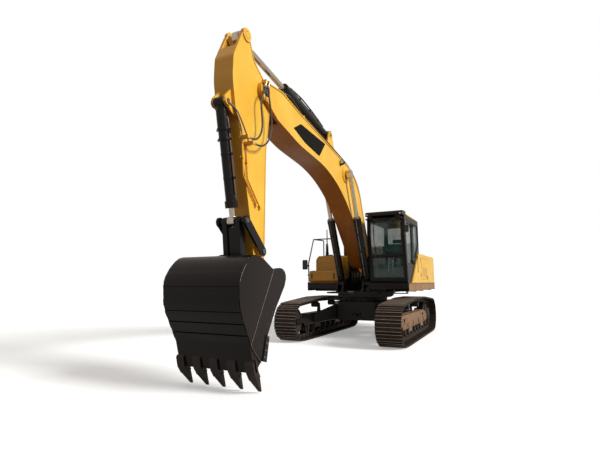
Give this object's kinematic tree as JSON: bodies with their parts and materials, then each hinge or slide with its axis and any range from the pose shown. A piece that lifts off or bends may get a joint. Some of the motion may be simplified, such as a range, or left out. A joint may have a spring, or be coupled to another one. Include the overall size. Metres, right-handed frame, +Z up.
{
  "type": "crawler excavator",
  "caption": "Tracked excavator with a slewing upper structure, cab, two-part digging arm and a curling bucket.",
  "frame": {"origin": "bottom centre of the whole machine's box, on the ground", "axes": "+Z up, -Y to the front where the bucket is, +X to the cab's side"},
  "size_m": [3.19, 10.708, 5.608],
  "materials": {
    "body_paint": "satin, dusty",
    "dark_paint": "satin, worn",
    "worn_steel": "rusty, worn bright at edges",
    "rod_chrome": "polished",
    "cab_glass": "green tint",
    "seat_cloth": "woven",
    "trim_plastic": "matte",
    "engine_iron": "rough",
    "hose_rubber": "matte, dusty"
  },
  "bodies": {
    "base": {"car_body": "dark_paint", "towing_eyes": "dark_paint", "slew_ring": "dark_paint", "track_left": "worn_steel", "track_right": "worn_steel", "track_frame_left": "body_paint", "track_frame_right": "body_paint", "idler_left": "worn_steel", "idler_right": "worn_steel", "sprocket_left": "worn_steel", "sprocket_right": "worn_steel", "rollers_left": "worn_steel", "rollers_right": "worn_steel"},
    "upper": {"platform": "body_paint", "counterweight": "body_paint", "housing": "body_paint", "engine": "engine_iron", "tank": "body_paint", "step_box": "body_paint", "handrails": "dark_paint", "mirror": "trim_plastic", "exhaust": "dark_paint", "cab_shell": "dark_paint", "cab_roof": "body_paint", "cab_visor": "dark_paint", "cab_glass": "cab_glass", "seat": "seat_cloth", "seat_base": "trim_plastic", "boom_foot_pin": "worn_steel", "boom_cylinder_pins": "worn_steel"},
    "hood_lid": {"hood_lid": "body_paint"},
    "left_door": {"left_door": "body_paint"},
    "right_door": {"right_door": "body_paint"},
    "cab_door": {"cab_door": "dark_paint", "door_glass": "cab_glass"},
    "boom": {"boom": "body_paint", "arm_pin": "worn_steel", "boom_lamp": "dark_paint", "arm_hose_front": "hose_rubber", "arm_hose_rear": "hose_rubber"},
    "boom_barrels": {"boom_barrels": "dark_paint"},
    "boom_rods": {"boom_rods": "rod_chrome"},
    "arm": {"arm": "body_paint"},
    "arm_barrel": {"arm_barrel": "dark_paint"},
    "arm_rod": {"arm_rod": "rod_chrome"},
    "bucket": {"bucket": "dark_paint", "teeth": "worn_steel"},
    "bucket_barrel": {"bucket_barrel": "dark_paint"},
    "bucket_rod": {"bucket_rod": "rod_chrome"},
    "rocker": {"rocker": "dark_paint"},
    "link": {"h_link": "dark_paint"}
  },
  "joints": [
    {"name": "slew", "type": "hinge", "parent": "base", "child": "upper", "pos_m": [0, 1.914, 1.07], "axis": [0, 0, 1], "continuous": true},
    {"name": "boom_lift", "type": "hinge", "parent": "upper", "child": "boom", "pos_m": [0, 1.614, 2.06], "axis": [-1, 0, 0], "range_deg": [-62, 38]},
    {"name": "arm_swing", "type": "hinge", "parent": "boom", "child": "arm", "pos_m": [0, -4.066, 4.72], "axis": [1, 0, 0], "range_deg": [-87, 36], "deforming": ["arm_hose_front", "arm_hose_rear"]},
    {"name": "bucket_curl", "type": "hinge", "parent": "arm", "child": "bucket", "pos_m": [0, -4.116, 1.52], "axis": [1, 0, 0], "range_deg": [-5, 155]},
    {"name": "cab_door_swing", "type": "hinge", "parent": "upper", "child": "cab_door", "pos_m": [1.477, 1.739, 2], "axis": [0, 0, 1], "range_deg": [0, 150]},
    {"name": "hood_lift", "type": "hinge", "parent": "upper", "child": "hood_lid", "pos_m": [0, 3.106, 2.568], "axis": [1, 0, 0], "range_deg": [0, 70]},
    {"name": "left_door_swing", "type": "hinge", "parent": "upper", "child": "left_door", "pos_m": [1.498, 2.647, 1.9], "axis": [0, 0, -1], "range_deg": [0, 110]},
    {"name": "right_door_swing", "type": "hinge", "parent": "upper", "child": "right_door", "pos_m": [-1.498, 3.027, 1.9], "axis": [0, 0, 1], "range_deg": [0, 110]},
    {"name": "boom_barrel_tilt", "type": "hinge", "parent": "upper", "child": "boom_barrels", "pos_m": [0, 1.034, 1.45], "axis": [-1, 0, 0], "range_deg": [-58.63, 35.96]},
    {"name": "boom_rod_slide", "type": "slide", "parent": "boom_barrels", "child": "boom_rods", "axis": [0, -0.4092, 0.9124], "range_m": [-0.85619, 0.52515]},
    {"name": "arm_barrel_tilt", "type": "hinge", "parent": "boom", "child": "arm_barrel", "pos_m": [0, -0.886, 5], "axis": [1, 0, 0], "range_deg": [-6.35, 2.66]},
    {"name": "arm_rod_slide", "type": "slide", "parent": "arm_barrel", "child": "arm_rod", "axis": [0, -0.9913, 0.132], "range_m": [-1.18128, 0.48939]},
    {"name": "rocker_swing", "type": "hinge", "parent": "arm", "child": "rocker", "pos_m": [0, -4.121, 1.99], "axis": [1, 0, 0], "range_deg": [-3.83, 117.15]},
    {"name": "link_swing", "type": "hinge", "parent": "rocker", "child": "link", "pos_m": [0, -4.606, 2.43], "axis": [-1, 0, 0], "range_deg": [-2.46, 74.92]},
    {"name": "bucket_barrel_tilt", "type": "hinge", "parent": "arm", "child": "bucket_barrel", "pos_m": [0, -4.976, 4.21], "axis": [-1, 0, 0], "range_deg": [-0.14, 2.67]},
    {"name": "bucket_rod_slide", "type": "slide", "parent": "bucket_barrel", "child": "bucket_rod", "axis": [0, 0.2035, -0.9791], "range_m": [-0.03669, 1.10745]}
  ],
  "couplings": [
    {"joint": "boom_barrel_tilt", "follows": "boom_lift", "ratio": 0.9449},
    {"joint": "boom_rod_slide", "follows": "boom_lift", "m_per_rad": 0.7903},
    {"joint": "arm_barrel_tilt", "follows": "arm_swing", "ratio": 0.0724},
    {"joint": "arm_rod_slide", "follows": "arm_swing", "m_per_rad": 0.7773},
    {"joint": "rocker_swing", "follows": "bucket_curl", "ratio": 0.7555},
    {"joint": "link_swing", "follows": "bucket_curl", "ratio": 0.483},
    {"joint": "bucket_barrel_tilt", "follows": "bucket_curl", "ratio": 0.0169},
    {"joint": "bucket_rod_slide", "follows": "bucket_curl", "m_per_rad": 0.409}
  ]
}
